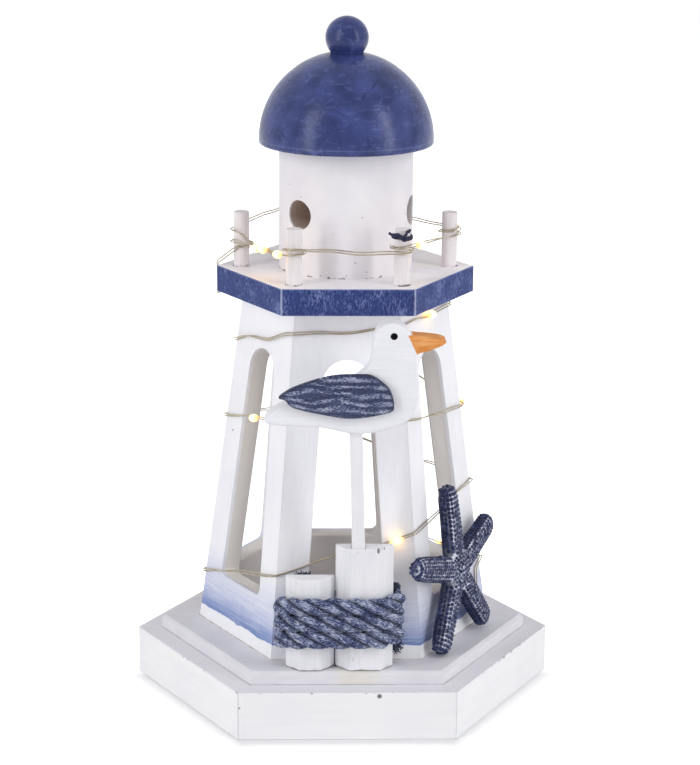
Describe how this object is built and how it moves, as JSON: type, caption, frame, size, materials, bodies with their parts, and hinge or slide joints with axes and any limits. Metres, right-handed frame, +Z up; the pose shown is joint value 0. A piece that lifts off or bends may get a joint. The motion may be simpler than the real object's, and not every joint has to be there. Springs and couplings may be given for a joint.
{
  "type": "lighthouse ornament",
  "caption": "Free-standing painted wooden lighthouse with a wound battery light string, a gull on a stick, rope-bound mooring posts and a starfish.",
  "frame": {"origin": "centre of the base's underside, where the lighthouse stands", "axes": "+Z up along the tower's axis; -Y is the front with the mooring posts and the gull; +X is the viewer's right, through a corner of the hexagon"},
  "size_m": [0.136, 0.1178, 0.2177],
  "materials": {
    "white_paint": "matt white chalk paint over wood, with brush marks and a blue wash at the tower's foot",
    "blue_paint": "satin navy paint over turned or sawn wood",
    "wing_paint": "satin slate-blue paint over wood",
    "rope": "twisted cotton, heather navy",
    "star_resin": "cast resin, navy, dry-brushed white",
    "enamelled_wire": "enamelled twin wire",
    "led_resin": "clear cast resin over a warm white LED",
    "thread": "cotton thread",
    "box_plastic": "moulded, fine spark texture",
    "cell_jacket": "printed film over a steel can",
    "contact_steel": "nickel-plated",
    "switch_plastic": "moulded",
    "knob_plastic": "moulded"
  },
  "bodies": {
    "lighthouse": {"base_rim_front": "white_paint", "base_rim_front_right": "white_paint", "base_rim_back_right": "white_paint", "base_rim_back": "white_paint", "base_rim_back_left": "white_paint", "base_rim_front_left": "white_paint", "step_plate": "white_paint", "tower_panel_front": "white_paint", "tower_panel_front_right": "white_paint", "tower_panel_back_right": "white_paint", "tower_panel_back": "white_paint", "tower_panel_back_left": "white_paint", "tower_panel_front_left": "white_paint", "gallery_deck": "blue_paint", "gallery_post_right": "white_paint", "gallery_post_back_right": "white_paint", "gallery_post_back_left": "white_paint", "gallery_post_left": "white_paint", "gallery_post_front_left": "white_paint", "gallery_post_front_right": "white_paint", "lantern_room": "white_paint", "dome_roof": "blue_paint", "dome_finial": "blue_paint", "mooring_post_tall": "white_paint", "mooring_post_short": "white_paint", "mooring_rope": "rope", "gull_leg": "white_paint", "gull_body": "white_paint", "gull_wing": "wing_paint", "starfish": "star_resin", "light_wire": "enamelled_wire", "led_beads": "led_resin", "thread_tie": "thread", "battery_box": "box_plastic", "battery_cell_left": "cell_jacket", "battery_cell_right": "cell_jacket", "contact_springs": "contact_steel", "contact_plates": "contact_steel", "switch_body": "switch_plastic", "box_screws": "contact_steel"},
    "battery_door": {"battery_door": "box_plastic"},
    "switch_slider": {"switch_slider": "knob_plastic"}
  },
  "joints": [
    {"name": "battery_door_slide", "type": "slide", "parent": "lighthouse", "child": "battery_door", "axis": [1, 0, 0], "range_m": [0, 0.01]},
    {"name": "switch_slide", "type": "slide", "parent": "lighthouse", "child": "switch_slider", "axis": [0, 1, 0], "range_m": [0, 0.003]}
  ]
}
